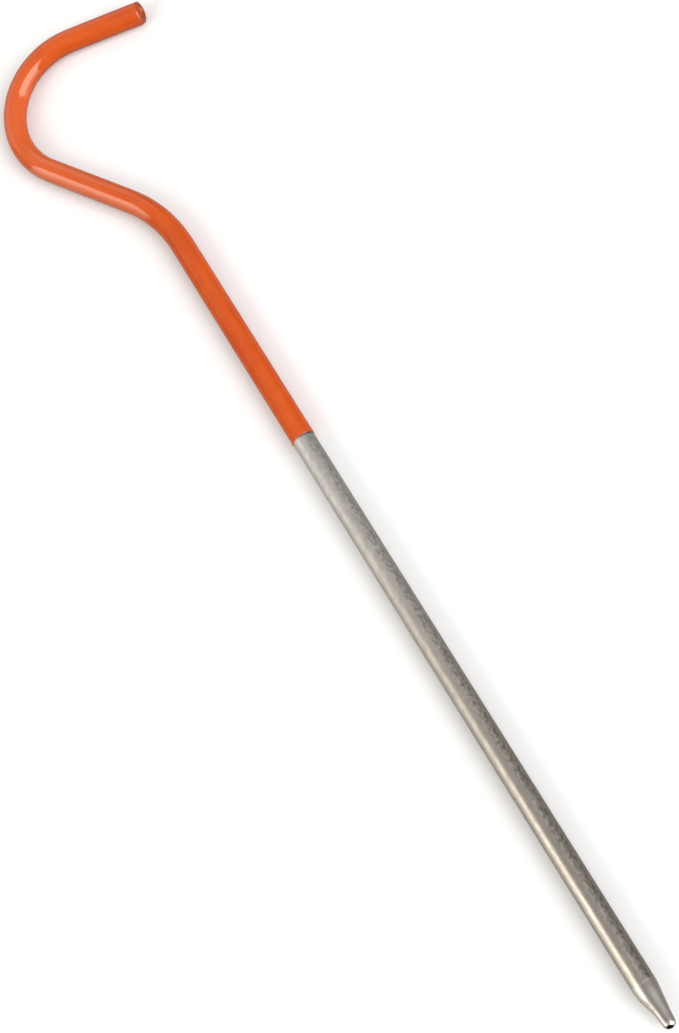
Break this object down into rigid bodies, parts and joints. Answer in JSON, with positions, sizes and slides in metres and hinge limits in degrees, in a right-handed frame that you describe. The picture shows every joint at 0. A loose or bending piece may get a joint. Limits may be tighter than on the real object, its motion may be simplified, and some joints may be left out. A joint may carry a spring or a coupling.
{
  "type": "tent stake",
  "caption": "Hook tent stake: a slim titanium wire with a ground point, bent at the top into an open, orange-coated hook for a guy line.",
  "frame": {"origin": "bottom centre of the whole stake's box, as it lies flat on a surface", "axes": "+Y up the straight shaft from the point to the hook; +X to the side that the hook opens to; +Z square to the plane of the hook, away from the surface that it lies on"},
  "size_m": [0.0276, 0.165, 0.0034],
  "materials": {
    "titanium": "bare drawn titanium, warm grey, satin and finely pitted; the ground point is smoother",
    "orange_coating": "thin glossy orange powder coat, opaque"
  },
  "bodies": {
    "root": {"stake_rod": "titanium", "hook_coating": "orange_coating"}
  },
  "joints": []
}
